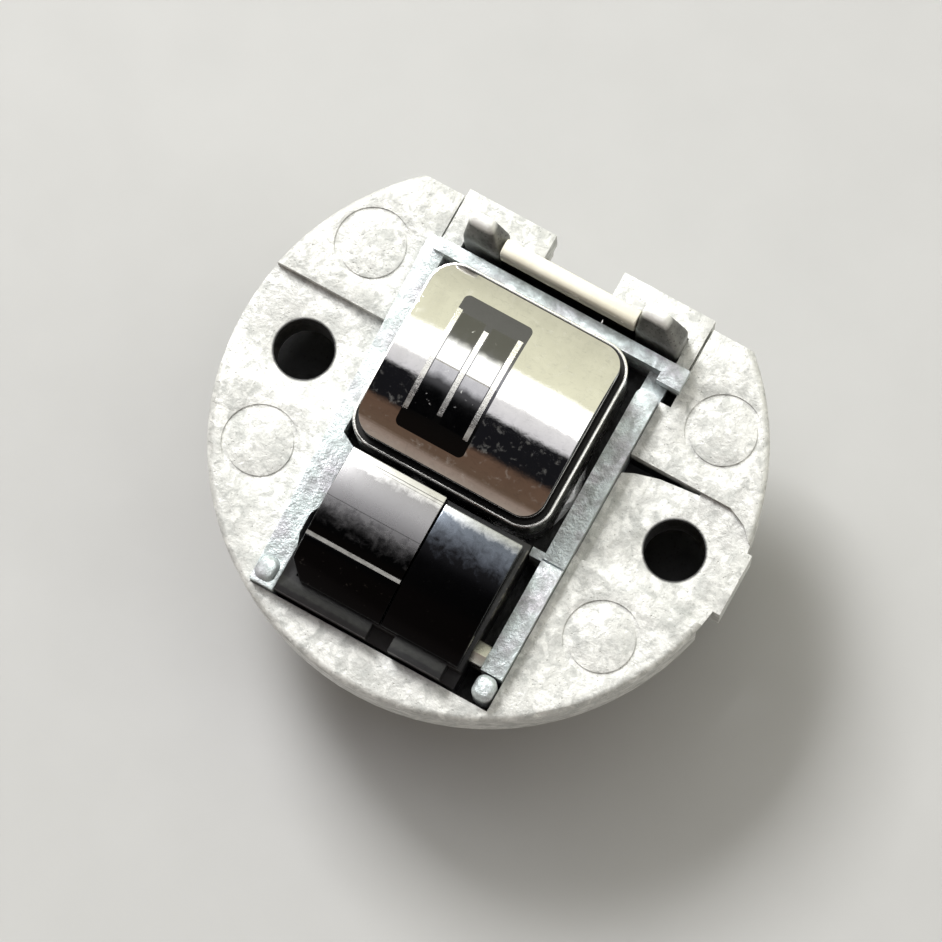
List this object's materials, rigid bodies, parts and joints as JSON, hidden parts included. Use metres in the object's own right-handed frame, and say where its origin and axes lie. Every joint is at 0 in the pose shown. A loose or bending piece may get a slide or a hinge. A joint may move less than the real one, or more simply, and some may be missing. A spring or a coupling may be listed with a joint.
{
  "type": "rotary tape head block",
  "caption": "Round die-cast holder that turns half a turn on a bush and carries a mirror-faced tape head, an erase head and a tape guide.",
  "frame": {"origin": "on the turning axis, in the end face of the bearing bush's spigot", "axes": "+Z along the turning axis out of the head faces, +Y along the tape towards the guide, +X across the tape and along the line of the screw holes"},
  "size_m": [0.0145, 0.0127, 0.0082],
  "materials": {
    "die_cast_zinc": "mottled satin die casting",
    "plated_frame": "dull bluish zinc plate",
    "head_mirror": "lapped mirror",
    "shield_steel": "satin",
    "black_resin": "lapped resin",
    "laminated_core": "fine lapped laminations",
    "copper_winding": "enamelled wire",
    "gap_metal": "thin foil",
    "board": "paper laminate",
    "tinned_pin": "tinned",
    "black_case": "moulded",
    "ferrite": "polished ferrite",
    "gap_glass": "bonded glass",
    "bobbin_plastic": "moulded",
    "spring_steel": "spring leaf",
    "ivory_bar": "polished",
    "lug_metal": "dark sintered metal",
    "sleeve_steel": "turned",
    "bush_bronze": "sintered bronze",
    "black_steel": "phosphated",
    "washer_plastic": "smooth",
    "gear_plastic": "moulded acetal"
  },
  "bodies": {
    "bearing": {"bearing_bush": "bush_bronze", "stop_plate": "black_steel", "thrust_washer": "washer_plastic"},
    "head_block": {"rotary_holder": "die_cast_zinc", "head_frame": "plated_frame", "frame_rivets": "plated_frame", "head_can": "head_mirror", "head_outer_shield": "shield_steel", "head_bond_line": "black_resin", "window_resin": "black_resin", "centre_shield_strip": "shield_steel", "side_shield_strips": "shield_steel", "left_core_leading": "laminated_core", "left_core_trailing": "laminated_core", "left_channel_coils": "copper_winding", "right_core_leading": "laminated_core", "right_core_trailing": "laminated_core", "right_channel_coils": "copper_winding", "gap_shims": "gap_metal", "head_terminal_board": "board", "head_terminal_pins": "tinned_pin", "erase_case": "black_case", "erase_core_leading": "ferrite", "erase_core_trailing": "ferrite", "erase_back_core": "ferrite", "erase_gap_spacer": "gap_glass", "erase_coil": "copper_winding", "erase_coil_bobbin": "bobbin_plastic", "erase_dummy_block": "black_case", "erase_terminal_pins": "tinned_pin", "erase_head_clip": "spring_steel", "tape_guide_bar": "ivory_bar", "guide_base": "lug_metal", "left_guide_lug": "lug_metal", "right_guide_lug": "lug_metal", "pivot_sleeve": "sleeve_steel", "retaining_ring": "spring_steel", "reverse_gear": "gear_plastic"}
  },
  "joints": [
    {"name": "reverse_turn", "type": "hinge", "parent": "bearing", "child": "head_block", "pos_m": [0, 0, 0.002], "axis": [0, 0, 1], "range_deg": [0, 180]}
  ]
}
